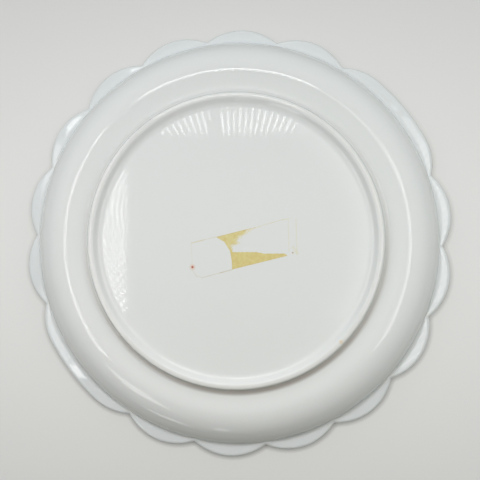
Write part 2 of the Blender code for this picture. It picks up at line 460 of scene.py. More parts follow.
    def label_traces(self, tree: Tree, mark: LabelMark, flat: Socket, under: Socket) -> list[Layer]:
        """The faint, patchy lines around the label's place.

        Args:
            tree: the material's nodes.
            mark: the label's place.
            flat: position in plan.
            under: mask of the underside.

        Returns:
            Mask and colour of each line.
        """
        own = add_node(tree, "Mapping", {0: flat, 1: (*mark.centre, 0.0), 2: (pi, 0.0, mark.angle)},
                       vector_type="TEXTURE")
        grain = add_node(tree, "TexNoise", {"Vector": own, "Scale": 1 / self.trace_grain, "Detail": 5.0,
                                            "Roughness": self.trace_roughness})
        bare, covered = self.trace_gaps
        patchy = add_node(tree, "MapRange", {0: grain, 1: bare, 2: covered, 3: self.trace_least})
        patchy = add_node(tree, "Math", {0: patchy, 1: under}, operation="MULTIPLY")
        layers = []
        for trace in mark.traces:
            half = trace.width / 2 * MM
            away = line_distance(tree, own, trace.start, trace.end)
            mask = add_node(tree, "MapRange", {0: away, 1: half + self.trace_blur, 2: half - self.trace_blur,
                                               4: trace.strength})
            layers.append((add_node(tree, "Math", {0: mask, 1: patchy}, operation="MULTIPLY"), trace.colour))
        return layers

    def stain(self, tree: Tree, speck: Speck, flat: Socket, under: Socket) -> Socket:
        """Mask of one small stain.

        Args:
            tree: the material's nodes.
            speck: the stain.
            flat: position in plan.
            under: mask of the underside.

        Returns:
            How strong the stain is.
        """
        away = add_node(tree, "VectorMath", {0: flat, 1: (*speck.spot, 0.0)}, "Value", operation="DISTANCE")
        mask = add_node(tree, "MapRange", {0: away, 1: speck.radius, 2: speck.radius * speck.core,
                                           4: speck.strength}, interpolation_type="SMOOTHSTEP")
        return add_node(tree, "Math", {0: mask, 1: under}, operation="MULTIPLY")

    def relief(self, tree: Tree, shape: "TrayShape", radius: Socket, under: Socket, place: Socket) -> Socket:
        """Fine relief: turning marks on the base and on the slope around it, and a slow wobble all over.

        The marks of a real mould are finer; these are as coarse as they need to be to show in a render.

        Args:
            tree: the material's nodes.
            shape: the tray's sizes.
            radius: distance from the axis.
            under: mask of the underside.
            place: position on the tray.

        Returns:
            The bent normal.
        """
        base_end = shape.base_radius - self.turning_fade
        on_base = add_node(tree, "MapRange", {0: radius, 1: shape.base_radius, 2: base_end})
        on_slope = self.band(tree, radius, base_end, shape.base_radius, shape.crest_inner,
                             shape.crest_inner + self.turning_fade / 2)
        marks: Socket | float = 0.0
        for pitch, mask in ((self.base_turning, on_base), (self.slope_turning, on_slope)):
            turns = add_node(tree, "Math", {0: radius, 1: 2 * pi / pitch}, operation="MULTIPLY")
            wave = add_node(tree, "Math", {0: turns}, operation="SINE")
            marks = add_node(tree, "Math", {0: wave, 1: mask, 2: marks}, operation="MULTIPLY_ADD")
        marks = add_node(tree, "Math", {0: marks, 1: under}, operation="MULTIPLY")
        turned = add_node(tree, "Bump", {"Height": marks, "Distance": self.turning_height})
        swell = add_node(tree, "TexNoise", {"Vector": place, "Scale": 1 / self.wobble_width, "Detail": 1.0})
        return add_node(tree, "Bump", {"Height": swell, "Distance": self.wobble_height, "Normal": turned})


@dataclass(frozen=True)
class AgedAdhesive:
    """Rubber label adhesive, yellowed to a thin film.

    The eye sees a dull, finely mottled yellow, browner along the label's old edges and thinned out in pale
    fibres where the paper was torn off.
    """

    film: str = "#D5C98B"
    upper_film: str = "#D6CF98"
    upper_fade: float = 4.0 * MM
    thick: str = "#CDBB78"
    mottle: float = 2.2 * MM
    mottle_range: Pair = (0.3, 0.7)
    edge: str = "#BFA355"
    edge_width: float = 0.7 * MM
    edge_strength: float = 0.8
    torn: str = "#DADBD2"
    fibre: Point = (3.0 * MM, 0.45 * MM, MM)
    fibre_turn: float = radians(25)
    fray: float = 2.6 * MM
    fray_range: Pair = (-1.2, -0.1)
    roughness: float = 0.35

    def build(self, mark: LabelMark) -> bpy.types.Material:
        """Make the material.

        Args:
            mark: the label's place, whose long edges are browner.

        Returns:
            The finished material.
        """
        material = bpy.data.materials.new("aged_adhesive_film")
        material.use_nodes = True
        tree = material.node_tree
        shader = tree.nodes["Principled BSDF"].inputs
        shader["Roughness"].default_value = self.roughness
        place = add_node(tree, "TexCoord", output="Object")
        across = add_node(tree, "SeparateXYZ", {0: place}, "Y")
        upper = add_node(tree, "MapRange", {0: across, 2: self.upper_fade})
        grain = add_node(tree, "TexNoise", {"Vector": place, "Scale": 1 / self.mottle, "Detail": 5.0})
        thin, thick = self.mottle_range
        mottled = add_node(tree, "MapRange", {0: grain, 1: thin, 2: thick})
        away = add_node(tree, "Math", {0: across}, operation="ABSOLUTE")
        border = add_node(tree, "MapRange", {0: away, 1: mark.width / 2 - self.edge_width, 2: mark.width / 2,
                                             4: self.edge_strength})
        layers = ((upper, self.upper_film), (mottled, self.thick), (border, self.edge),
                  (self.frayed(tree, mark, place), self.torn))
        colour: Socket | tuple[float, ...] = linear(self.film)
        for mask, tint in layers:
            colour = add_node(tree, "Mix", {0: mask, 6: colour, 7: linear(tint)}, 2, data_type="RGBA")
        tree.links.new(colour, shader["Base Color"])
        return material

    def frayed(self, tree: Tree, mark: LabelMark, place: Socket) -> Socket:
        """Mask of the fibres in which the film thins out towards its torn edge.

        Args:
            tree: the material's nodes.
            mark: the label's place and the film's outline.
            place: position in the label's frame.

        Returns:
            A value of 1 where no film is left.
        """
        away: Socket | float = 1.0
        torn = mark.film_outline[slice(*mark.torn_corners)]
        for start, end in zip(torn, torn[1:]):
            away = add_node(tree, "Math", {0: line_distance(tree, place, start, end), 1: away},
                            operation="MINIMUM")
        along = add_node(tree, "Mapping", {0: place, 2: (0.0, 0.0, self.fibre_turn), 3: self.fibre},
                         vector_type="TEXTURE")
        fibres = add_node(tree, "TexNoise", {"Vector": along, "Scale": 1.0, "Detail": 3.0})
        reach = add_node(tree, "Math", {0: fibres, 1: -2 * self.fray, 2: away}, operation="MULTIPLY_ADD")
        bare, whole = (share * self.fray for share in self.fray_range)
        return add_node(tree, "MapRange", {0: reach, 1: bare, 2: whole, 3: 1.0, 4: 0.0},
                        interpolation_type="SMOOTHSTEP")


@dataclass(frozen=True)
class StageVinyl:
    """Matt white vinyl sheet that shows on one side only.

    The eye sees a pale grey with painted light on it: a painted falloff that leaves it a little darker
    towards its near and far ends, a painted contact shadow where something stands on it, darkest on the near
    side, and a painted glow, half of its light, that lifts the shadows cast on it.
    """

    colour: str = "#E3E3E0"
    # Painted contact shadow: ambient occlusion darkens the sheet where something touches it, most on its near
    # side.
    contact: float = 4 * MM
    contact_full: float = 0.45
    contact_samples: int = 8
    near_shade: float = 0.7
    far_shade: float = 0.0
    # Painted glow: half of the sheet's light is emitted, which lifts the real shadows cast on it.
    painted_glow: float = 0.91
    painted_glow_share: float = 0.5
    # Painted falloff of the lamps' light: the sheet is a little darker towards its near and far ends.
    far_gain: float = 0.015
    end_loss: float = -0.050
    reach: float = 125 * MM
    reach_limit: float = 1.2

    def build(self, name: str, table: Matrix) -> bpy.types.Material:
        """Make the material.

        Args:
            name: the material's name.
            table: frame of the photographed table.

        Returns:
            The finished material.
        """
        material = bpy.data.materials.new(name)
        material.use_nodes = True
        tree = material.node_tree
        tree.nodes.remove(tree.nodes["Principled BSDF"])
        place = add_node(tree, "TexCoord", output="Object")
        way = table.to_3x3() @ Vector((0.0, 1.0 / self.reach, 0.0))
        ahead = add_node(tree, "VectorMath", {0: place, 1: way}, "Value", operation="DOT_PRODUCT")
        ahead = add_node(tree, "Clamp", {0: ahead, 1: -self.reach_limit, 2: self.reach_limit})
        # Painted falloff: the sheet is made a little darker towards its near and far ends.
        slope = add_node(tree, "Math", {0: ahead, 1: self.end_loss, 2: self.far_gain},
                         operation="MULTIPLY_ADD")
        gain = add_node(tree, "Math", {0: ahead, 1: slope, 2: 1.0}, operation="MULTIPLY_ADD")
        # Painted contact shadow: ambient occlusion turned into darkening, strongest on the near side.
        open_sky = add_node(tree, "AmbientOcclusion", {"Distance": self.contact}, "AO",
                            samples=self.contact_samples)
        dark = add_node(tree, "MapRange", {0: ahead, 1: -1.0, 3: 1 - self.near_shade, 4: 1 - self.far_shade})
        shade = add_node(tree, "MapRange", {0: open_sky, 1: self.contact_full, 3: dark, 4: 1.0})
        gain = add_node(tree, "Math", {0: gain, 1: shade}, operation="MULTIPLY")
        colour = add_node(tree, "VectorMath", {0: linear(self.colour)[:3], "Scale": gain}, operation="SCALE")
        matt = add_node(tree, "BsdfDiffuse", {"Color": colour})
        # Painted glow: half of the sheet's light is emitted, so real shadows on it are lifted.
        lit = add_node(tree, "Emission", {"Color": colour, "Strength": self.painted_glow})
        sheet = add_node(tree, "MixShader", {0: self.painted_glow_share, 1: matt, 2: lit})
        back = add_node(tree, "NewGeometry", output="Backfacing")
        one_sided = add_node(tree, "MixShader", {0: back, 1: sheet, 2: add_node(tree, "BsdfTransparent")})
        tree.links.new(one_sided, tree.nodes["Material Output"].inputs["Surface"])
        return material


@dataclass(frozen=True)
class TrayShape:
    """Sizes of the tray, those of its solid to a few tenths of a millimetre.

    The radii other than the notches' are counted inwards from them.
    """

    notch_radius: float = 118.2 * MM
    scallop_depth: float = 5.8 * MM
    rim_thickness: float = 4.0 * MM
    rim_ledge: float = 0.3 * MM
    rim_lift: float = 0.38 * MM
    scallop_units: int = 18
    height: float = 22.0 * MM
    wall_run: float = 19.5 * MM
    bulge_drop: float = 2.4 * MM
    groove_run: float = 10.8 * MM
    groove_sink: float = 1.0 * MM
    groove_flat: float = 0.3 * MM
    shoulder_hollow: float = 0.5
    cove_run: float = 2.8 * MM
    cove_rise: float = 2.2 * MM
    foot_height: float = 4.6 * MM
    foot_flank_run: float = 1.3 * MM
    foot_edge_round: float = 0.4 * MM
    foot_crest_width: float = 2.3 * MM
    foot_inner_run: float = 3.6 * MM
    foot_depth: float = 3.2 * MM
    wall_thickness: float = 5.2 * MM
    bevel_run: float = 4.0 * MM
    bevel_drop: float = 3.0 * MM
    land_fall: float = 3.6 * MM
    well_count: int = 12
    well_length: float = 53.0 * MM
    well_ridge: float = 2.8 * MM
    well_taper: float = 0.6
    well_margin: float = 3.6 * MM
    lip_width: float = 1.0 * MM
    lip_drop: float = 0.5 * MM
    well_floor: float = 4.6 * MM
    bowl_power: float = 2.4
    centre_land: float = 5.0 * MM
    centre_slope_run: float = 6.5 * MM
    centre_floor: float = 5.8 * MM

    @property
    def crown_radius(self) -> float:
        """Radius to the crown of a scallop."""
        return self.notch_radius + self.scallop_depth

    @property
    def rim_round(self) -> float:
        """Radius of the rim's rounded edge."""
        return self.rim_thickness / 2

    @property
    def rim_under(self) -> float:
        """Height of the rim's underside."""
        return self.height - self.rim_thickness

    @property
    def wall_radius(self) -> float:
        """Radius where the wall meets the rim."""
        return self.notch_radius - self.rim_round - self.rim_ledge

    @property
    def bulge_radius(self) -> float:
        """Radius where the underside hangs lowest outside the foot."""
        return self.wall_radius - self.wall_run

    @property
    def bulge_height(self) -> float:
        """Height of the underside there."""
        return self.groove_height - self.bulge_drop

    @property
    def groove_height(self) -> float:
        """Height of the underside in the groove outside the foot."""
        return self.foot_height + self.groove_sink

    @property
    def groove_radius(self) -> float:
        """Radius of the groove outside the foot."""
        return self.bulge_radius - self.groove_run

    @property
    def flank_radius(self) -> float:
        """Radius where the foot's flank runs into its cove."""
        return self.groove_radius - self.cove_run

    @property
    def crest_outer(self) -> float:
        """Outer radius of the foot's flat crest."""
        return self.flank_radius - self.foot_flank_run - self.foot_edge_round

    @property
    def crest_inner(self) -> float:
        """Inner radius of the foot's flat crest."""
        return self.crest_outer - self.foot_crest_width

    @property
    def base_radius(self) -> float:
        """Radius of the flat base."""
        return self.crest_inner - self.foot_edge_round - self.foot_inner_run

    @property
    def land_outer(self) -> float:
        """Outer radius of the land between the wells."""
        return self.wall_radius - self.wall_thickness

    @property
    def land_outer_height(self) -> float:
        """Height of the land at the rim."""
        return self.height - self.bevel_drop

    @property
    def well_radius(self) -> float:
        """Radius to the middle of a well."""
        return self.land_outer - self.well_margin - self.well_length / 2

    @property
    def well_floor_height(self) -> float:
        """Height of a well's floor."""
        return self.foot_height + self.well_floor

    @property
    def land_inner(self) -> float:
        """Inner radius of the land."""
        return self.well_radius - self.well_length / 2 - self.centre_land

    @property
    def centre_floor_height(self) -> float:
        """Height of the centre dish's floor."""
        return self.foot_depth + self.centre_floor

    def land_height(self, radius: float) -> float:
        """Height of the land, which falls evenly towards the centre."""
        share = (self.land_outer - radius) / (self.land_outer - self.land_inner)
        return self.land_outer_height - self.land_fall * share

    def shoulder_drop(self, share: float) -> float:
        """How far the underside hangs down from the groove, at a share of the way out to the bulge."""
        left = 1 - share
        return self.bulge_drop * (1 - left * left * (1 + 2 * self.shoulder_hollow * share))

    def rim_drop(self, outline: float) -> float:
        """How far the rim's underside hangs down at the edge: nothing in a notch, most at a crown."""
        return self.rim_lift * (outline - self.notch_radius) / self.scallop_depth


@dataclass(frozen=True)
class Corner:
    """A corner of a turned profile, with the length that its rounding takes from each side."""

    radius: float
    height: float
    fillet: float = 0.0


def round_corners(corners: Sequence[Corner], steps: int = 6, most: float = 0.48) -> list[Pair]:
    """Points along a profile with its corners rounded.

    Args:
        corners: the corners in order.
        steps: points along each rounded corner.
        most: share of a side that one rounding may take.

    Returns:
        Radius and height of each point.
    """
    path = [(corners[0].radius, corners[0].height)]
    for before, corner, after in zip(corners, corners[1:], corners[2:]):
        here = Vector((corner.radius, corner.height))
        back = Vector((before.radius, before.height)) - here
        ahead = Vector((after.radius, after.height)) - here
        cut_back = here + back.normalized() * min(corner.fillet, back.length * most)
        cut_ahead = here + ahead.normalized() * min(corner.fillet, ahead.length * most)
        for i in range(steps + 1):
            t = i / steps
            path.append(tuple(cut_back.lerp(here, t).lerp(here.lerp(cut_ahead, t), t)))
    path.append((corners[-1].radius, corners[-1].height))
    return path


@dataclass
class EggTray:
    """The glass tray as a fine closed mesh."""

    shape: TrayShape
    steps_per_scallop: int = 24
    ridge_steps: int = 36
    notch_blend: float = 0.5 * MM
    cap_radius: float = 12.0 * MM
    base_slack: float = 1.1 * MM
    base_fillet: float = 2.4 * MM
    crest_fillets: Pair = (1.15 * MM, 0.8 * MM)
    flank_fillet: float = 0.5 * MM
    flank_lead: float = 0.6
    edge_steps: int = 14
    wall_steps: int = 28
    flange_shares: tuple[float, ...] = (0.15, 0.4, 0.65, 0.92)
    groove_steps: int = 16
    cove_steps: int = 8
    cove_start: int = 2
    bevel_steps: int = 8
    land_shares: Pair = (0.35, 0.7)
    lip_steps: int = 5
    bowl_steps: int = 18
    centre_steps: int = 12

    def angles(self) -> list[float]:
        """Where the points of a ring lie, closest together at the notches of the rim.

        Returns:
            The angle of each point from the first grip.
        """
        unit = 2 * pi / self.shape.scallop_units
        half = self.steps_per_scallop // 2
        found = []
        for k in range(self.shape.scallop_units):
            for i in range(self.steps_per_scallop):
                found.append(unit * (k + 0.5 + 0.5 * sin(pi / 2 * (i - half) / half)))
        return found

    def arc_radius_at(self, from_crown: float) -> float:
        """Distance of one scallop's arc from the axis.

        Args:
            from_crown: angle from the scallop's crown.

        Returns:
            The distance.
        """
        s = self.shape
        half = pi / s.scallop_units
        centre = (s.crown_radius**2 - s.notch_radius**2) / (2 * (s.crown_radius - s.notch_radius * cos(half)))
        radius = s.crown_radius - centre
        reach = centre * sin(from_crown)
        return centre * cos(from_crown) + max(radius**2 - reach**2, 0.0) ** 0.5

    def scallop_radius(self, angle: float) -> float:
        """Rim outline: arcs from notch to notch, a wide scallop at each grip, a hair of glass in each notch.

        Args:
            angle: angle from the first grip.

        Returns:
            The distance from the axis.
        """
        unit = 2 * pi / self.shape.scallop_units
        from_grip = abs((angle + pi / 2) % pi - pi / 2)
        if from_grip < unit / 2:
            return self.shape.crown_radius
        from_crown = from_grip - unit / 2 if from_grip < unit else abs(from_grip % unit - unit / 2)
        own = self.arc_radius_at(from_crown)
        other = self.arc_radius_at(unit - from_crown)
        overlap = max(self.notch_blend - abs(own - other), 0.0) / self.notch_blend
        return max(own, other) + overlap * overlap * self.notch_blend / 4

    def underside(self) -> list[Pair]:
        """Profile of the underside, from near the middle of the base out to one step below the wall's top.

        The step that is left out softens the corner between wall and rim.

        Returns:
            Radius and height of each point.
        """
        s = self.shape
        inner_slope = s.foot_inner_run / (s.foot_depth - s.foot_edge_round)
        flank_slope = s.foot_flank_run / (s.groove_height - s.cove_rise - s.foot_edge_round)
        profile = round_corners([
            Corner(self.cap_radius, s.foot_depth),
            Corner(s.base_radius + self.base_slack, s.foot_depth, self.base_fillet),
            Corner(s.crest_inner + s.foot_edge_round * (inner_slope - 1), 0.0, self.crest_fillets[0]),
            Corner(s.crest_outer + s.foot_edge_round * (1 - flank_slope), 0.0, self.crest_fillets[1]),
            Corner(s.flank_radius, s.groove_height - s.cove_rise, self.flank_fillet),
            Corner(s.flank_radius, s.groove_height - s.cove_rise * self.flank_lead),
        ])[:-1]
        for i in range(self.cove_start, self.cove_steps + 1):
            turn = pi / 2 * i / self.cove_steps
            profile.append((s.flank_radius + s.cove_run * (1 - cos(turn)),
                            s.groove_height - s.cove_rise * (1 - sin(turn))))
        for i in range(self.groove_steps + 1):
            share = i / self.groove_steps
            radius = s.groove_radius + s.groove_flat + (s.groove_run - s.groove_flat) * share
            profile.append((radius, s.groove_height - s.shoulder_drop(share)))
        turn_all = 2 * atan2(s.rim_under - s.bulge_height, s.wall_run)
        curve = s.wall_run / sin(turn_all)
        for i in range(1, self.wall_steps):
            turn = turn_all * i / self.wall_steps
            profile.append((s.bulge_radius + curve * sin(turn), s.bulge_height + curve * (1 - cos(turn))))
        return profile

    def ring(self, radius: float, height: float) -> list[Point]:
        """Points of a round loop about the axis."""
        return [(radius * cos(a), radius * sin(a), height) for a in self.angles()]

    def flange_ring(self, share: float) -> list[Point]:
        """Points of a loop on the rim's underside.

        Args:
            share: share of the way from the wall to the rim's round edge.

        Returns:
            The points.
        """
        s = self.shape
        points = []
        for a in self.angles():
            outline = self.scallop_radius(a)
            radius = s.wall_radius + (outline - s.rim_round - s.wall_radius) * share
            points.append((radius * cos(a), radius * sin(a), s.rim_under - s.rim_drop(outline) * share))
        return points

    def edge_ring(self, inset: float, share: float) -> list[Point]:
        """Points of a loop on the rim's round edge, which follows the scallops.

        Args:
            inset: distance inside the outline.
            share: share of the way from the rim's underside to its top.

        Returns:
            The points.
        """
        s = self.shape
        points = []
        for a in self.angles():
            outline = self.scallop_radius(a)
            under = s.rim_under - s.rim_drop(outline)
            radius = outline - inset
            points.append((radius * cos(a), radius * sin(a), under + (s.height - under) * share))
        return points

    def lay_underside(self, skin: Skin) -> list[int]:
        """Lay the base, foot, groove and wall.

        Args:
            skin: the surface that takes them.

        Returns:
            The last loop of the wall.
        """
        profile = self.underside()
        last = skin.loop(self.ring(*profile[0]))
        skin.cap(last, (0.0, 0.0, self.shape.foot_depth))
        for radius, height in profile[1:]:
            last = skin.bridge(last, self.ring(radius, height))
        return last

    def lay_rim(self, skin: Skin, wall: list[int]) -> list[int]:
        """Lay the scalloped rim, its round edge and the bevel inside it.

        Args:
            skin: the surface that takes them.
            wall: the last loop of the wall.

        Returns:
            The loop where the bevel meets the land.
        """
        s = self.shape
        last = wall
        for share in self.flange_shares:
            last = skin.bridge(last, self.flange_ring(share))
        for i in range(self.edge_steps + 1):
            turn = pi * i / self.edge_steps - pi / 2
            last = skin.bridge(last, self.edge_ring(s.rim_round * (1 - cos(turn)), (1 + sin(turn)) / 2))
        for i in range(self.bevel_steps + 1):
            share = i / self.bevel_steps
            last = skin.bridge(last, self.ring(s.land_outer + s.bevel_run * (1 - share),
                                               s.height - s.bevel_drop * ease(share)))
        return last

    def well_spot(self, turn: float, share: float, axis: float) -> Pair:
        """Plan position at a share of the way from a well's middle to its outline.

        Args:
            turn: position around the outline.
            share: 0 at the middle, 1 at the outline.
            axis: direction of the well from the tray's axis.

        Returns:
            The position in plan.
        """
        s = self.shape
        reach = s.well_length / 2 * cos(turn)
        half_width = (s.well_radius + s.well_taper * reach) * sin(pi / s.well_count) - s.well_ridge / 2
        along = s.well_radius + share * reach
        across = share * half_width * sin(turn)
        return along * cos(axis) - across * sin(axis), along * sin(axis) + across * cos(axis)

    def lay_well(self, skin: Skin, border: list[int], axis: float) -> None:
        """Lay one egg well inside its stretch of land.

        Args:
            skin: the surface that takes it.
            border: the loop around its stretch of land.
            axis: direction of the well from the tray's axis.
        """
        s = self.shape
        half_width = s.well_radius * sin(pi / s.well_count) - s.well_ridge / 2
        lip_share = s.lip_width / half_width
        edge = [skin.points[number][:2] for number in border]
        turns = []
        for x, y in edge:
            along = x * cos(axis) + y * sin(axis) - s.well_radius
            across = y * cos(axis) - x * sin(axis)
            turns.append(atan2(across / half_width, along / (s.well_length / 2)))
        last = border
        for fade in self.land_shares:
            loop = []
            for (x, y), turn in zip(edge, turns):
                lip_x, lip_y = self.well_spot(turn, 1 + lip_share, axis)
                x, y = x + (lip_x - x) * fade, y + (lip_y - y) * fade
                loop.append((x, y, s.land_height(hypot(x, y))))
            last = skin.bridge(last, loop)
        for i in range(self.lip_steps + 1):
            share = i / self.lip_steps
            loop = []
            for turn in turns:
                x, y = self.well_spot(turn, 1 + lip_share * (1 - share), axis)
                loop.append((x, y, s.land_height(hypot(x, y)) - s.lip_drop * share * share))
            last = skin.bridge(last, loop)
        for i in range(1, self.bowl_steps):
            share = 1 - i / self.bowl_steps
            loop = []
            for turn in turns:
                x, y = self.well_spot(turn, share, axis)
                lip = s.land_height(hypot(*self.well_spot(turn, 1.0, axis))) - s.lip_drop
                loop.append((x, y, s.well_floor_height + (lip - s.well_floor_height) * share**s.bowl_power))
            last = skin.bridge(last, loop)
        skin.cap(last, (s.well_radius * cos(axis), s.well_radius * sin(axis), s.well_floor_height))

    def lay_top(self, skin: Skin, outer: list[int]) -> None:
        """Lay the land, the egg wells and the centre dish.

        Args:
            skin: the surface that takes them.
            outer: the loop where the rim's bevel meets the land.
        """
        s = self.shape
        start = s.land_height(s.land_inner)
        inner = skin.loop(self.ring(s.land_inner, start))
        count = len(outer)
        per_well = count // s.well_count
        ridges = []
        for k in range(s.well_count):
            a = 2 * pi * k / s.well_count
            ridge = []
            for i in range(1, self.ridge_steps):
                radius = s.land_outer + (s.land_inner - s.land_outer) * i / self.ridge_steps
                ridge.append((radius * cos(a), radius * sin(a), s.land_height(radius)))
            ridges.append(skin.loop(ridge))
        for k in range(s.well_count):
            far = [outer[(k * per_well + i) % count] for i in range(per_well + 1)]
            near = [inner[(k * per_well + i) % count] for i in range(per_well + 1)]
            border = far + ridges[(k + 1) % s.well_count] + near[::-1] + ridges[k][::-1]
            self.lay_well(skin, border, 2 * pi * (k + 0.5) / s.well_count)
        last = inner
        for i in range(1, self.centre_steps + 1):
            share = i / self.centre_steps
            last = skin.bridge(last, self.ring(s.land_inner - s.centre_slope_run * share,
                                               start + (s.centre_floor_height - start) * ease(share)))
        last = skin.bridge(last, self.ring(s.land_inner / 3, s.centre_floor_height))
        skin.cap(last, (0.0, 0.0, s.centre_floor_height))

    def build(self, material: bpy.types.Material) -> bpy.types.Object:
        """Make the tray and let it stand for its solid.

        Args:
            material: the glass.

        Returns:
            The piece.
        """
        skin = Skin()
        wall = self.lay_underside(skin)
        land_edge = self.lay_rim(skin, wall)
        self.lay_top(skin, land_edge)
        piece = skin.to_object("egg_tray_glass", material)
        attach(piece, "root")
        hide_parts("egg_tray")
        return piece


@dataclass
class LabelFilm:
    """The adhesive that is left of the label, cut clean along the label's edges and torn elsewhere."""

    mark: LabelMark
    base_height: float
    thickness: float = 0.05 * MM
    gap: float = 0.02 * MM
    tear_step: float = 0.3 * MM
    tears_per_mm: float = 1.3
    tear_seed: float = 3.7

    def torn(self) -> list[Pair]:
        """Outline of the film with its ragged edges.

        Returns:
            Points in the label's frame, in metres.
        """
        corners = self.mark.film_outline
        edge = []
        for (u, v, rag), (next_u, next_v, _) in zip(corners, corners[1:] + corners[:1]):
            start, end = Vector((u, v)) * MM, Vector((next_u, next_v)) * MM
            run = end - start
            steps = max(1, round(run.length / self.tear_step))
            out = Vector((run.y, -run.x)).normalized()
            for i in range(steps):
                spot = start + run * (i / steps)
                place = (spot.x / MM * self.tears_per_mm, spot.y / MM * self.tears_per_mm, self.tear_seed)
                edge.append(tuple(spot + out * (noise.noise(place) * rag * MM)))
        return edge

    def build(self, material: bpy.types.Material) -> bpy.types.Object:
        """Make the film and let it stand for its solid.

        Args:
            material: the aged adhesive.

        Returns:
            The piece.
        """
        skin = Skin()
        edge = self.torn()
        stuck = skin.loop((u, v, self.gap) for u, v in edge)
        bare = skin.bridge(stuck, ((u, v, self.gap + self.thickness) for u, v in edge))
        skin.faces += [tuple(stuck), tuple(bare)]
        piece = skin.to_object("label_film", material)
        piece.data.shade_flat()
        piece.matrix_world = self.mark.matrix(self.base_height)
        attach(piece, "root")
        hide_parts("label_residue")
        return piece


@dataclass
class PhotoCamera:
    """The camera, placed in the photographed table's frame."""

    spot: Point = (19.96 * MM, -11.07 * MM, 327.66 * MM)
    tilt_x: float = radians(2.024)
    tilt_y: float = radians(3.109)
    focal_pixels: float = 560.0
    sensor: float = 36.0
    clip_start: float = 5 * MM

    def build(self, table: Matrix) -> bpy.types.Object:
        """Make the camera.

        Args:
            table: frame of the photographed table.

        Returns:
            The camera object.
        """
        data = bpy.data.cameras.new("photo_camera")
        data.sensor_width = self.sensor
        data.lens = self.sensor * self.focal_pixels / PHOTO_WIDTH
        data.clip_start = self.clip_start
        camera = link_object("photo_camera", data)
        turn = Matrix.Rotation(self.tilt_y, 4, "Y") @ Matrix.Rotation(self.tilt_x, 4, "X")
        camera.matrix_world = table @ Matrix.Translation(self.spot) @ turn
        bpy.context.scene.camera = camera
        return camera


def area_lamp(name: str, size: Pair) -> bpy.types.Object:
    """Make a rectangular area lamp with a radiance of 1 that the camera doesn't see.

    Args:
        name: the lamp's name.
        size: its two sides.

    Returns:
        The lamp object.
    """
    data = bpy.data.lights.new(name, "AREA")
    data.shape = "RECTANGLE"
    data.size, data.size_y = size
    data.energy = pi * size[0] * size[1]
    lamp = link_object(name, data)
    lamp.visible_camera = False
    return lamp


def aimed_from(spot: Point) -> Matrix:
    """Place and turn of a lamp that shines on the origin."""
    return Matrix.LocRotScale(Vector(spot), (-Vector(spot)).to_track_quat("-Z", "Y"), None)


@dataclass(frozen=True)
class Wash:
    """A soft lamp that lights the tray without showing in its gloss, in the photographed table's frame."""

    name: str
    spot: Point
    size: Pair
    light: Point

    def build(self, table: Matrix) -> bpy.types.Object:
        """Make the lamp and aim it at the tray.

        Args:
            table: frame of the photographed table.

        Returns:
            The lamp object.
        """
        lamp = area_lamp(self.name, self.size)
        lamp.data.color = self.light
        lamp.matrix_world = table @ aimed_from(self.spot)
        lamp.visible_glossy = False
        return lamp


@dataclass(frozen=True)
class LedPanel:
    """The glints of a board of small lamps under the tent's roof.

    The turning marks of the base draw the lamps out into streaks away from the tray's axis, so the glints are
    a fan of streaks about the point that the axis mirrors to. A board without gap_light shines evenly. All
    lengths are in millimetres, in the photographed table's frame.
    """

    name: str
    centre: Pair
    size: Pair
    lamp_light: float
    gap_light: float | None = None
    streak: float = 0.08
    streak_blur: float = 0.08
    height: float = 330.0
    fan_centre: Pair = (-20.1, 11.15)
    lamps_per_turn: float = 128.0

    def build(self, table: Matrix) -> bpy.types.Object:
        """Make the glints as an area lamp that shows in the gloss only.

        Args:
            table: frame of the photographed table.

        Returns:
            The lamp object.
        """
        lamp = area_lamp(self.name, (self.size[0] * MM, self.size[1] * MM))
        lamp.data.use_nodes = True
        tree = lamp.data.node_tree
        share = add_node(tree, "NewGeometry", output="Parametric")
        corner = [c - s / 2 - f for c, s, f in zip(self.centre, self.size, self.fan_centre)]
        spot = add_node(tree, "VectorMath", {0: share, 1: (*self.size, 0.0), 2: (*corner, 0.0)},
                        operation="MULTIPLY_ADD")
        tree.links.new(self.pattern(tree, spot), tree.nodes["Emission"].inputs["Strength"])
        lamp.matrix_world = table @ Matrix.Translation(Vector((*self.centre, self.height)) * MM)
        lamp.visible_diffuse = False
        return lamp

    def pattern(self, tree: Tree, spot: Socket) -> Socket:
        """Light over the board: streaks with gaps between them.

        Args:
            tree: the lamp's nodes.
            spot: position from the fan's centre.

        Returns:
            The strength of the light.
        """
        up = add_node(tree, "SeparateXYZ", {0: spot}, "Y")
        right = add_node(tree, "SeparateXYZ", {0: spot}, "X")
        turn = add_node(tree, "Math", {0: up, 1: right}, operation="ARCTAN2")
        count = add_node(tree, "Math", {0: turn, 1: self.lamps_per_turn / (2 * pi)}, operation="MULTIPLY")
        off = add_node(tree, "Math", {0: count, 1: 0.5}, operation="PINGPONG")
        gap = self.lamp_light if self.gap_light is None else self.gap_light
        return add_node(tree, "MapRange", {0: off, 1: self.streak, 2: self.streak + self.streak_blur,
                                           3: self.lamp_light, 4: gap}, interpolation_type="SMOOTHSTEP")


@dataclass(frozen=True)
class ClothGlow(LedPanel):
    """The cloth beside a board of lamps, which shines more the farther it is from the fan's centre."""

    start: float = 105.0
    full: float = 146.0

    def pattern(self, tree: Tree, spot: Socket) -> Socket:
        """Light over the cloth, from none at the start to the most at the full distance.

        Args:
            tree: the lamp's nodes.
            spot: position from the fan's centre.

        Returns:
            The strength of the light.
        """
        away = add_node(tree, "VectorMath", {0: spot}, "Value", operation="LENGTH")
        return add_node(tree, "MapRange", {0: away, 1: self.start, 2: self.full, 3: 0.0, 4: self.lamp_light},
                        interpolation_type="SMOOTHSTEP")


class TentSide(Enum):
    """The tent's bright sides, each by the two directions it lies between on the photographed table."""

    FAR = ((0.0, 1.0, 0.0), (0.0, 1.0, 0.0))
    LEFT_EAVE = ((-1.0, 0.0, 0.0), (0.0, 0.0, 1.0))
    FAR_EAVE = ((0.0, 1.0, 0.0), (0.0, 0.0, 1.0))


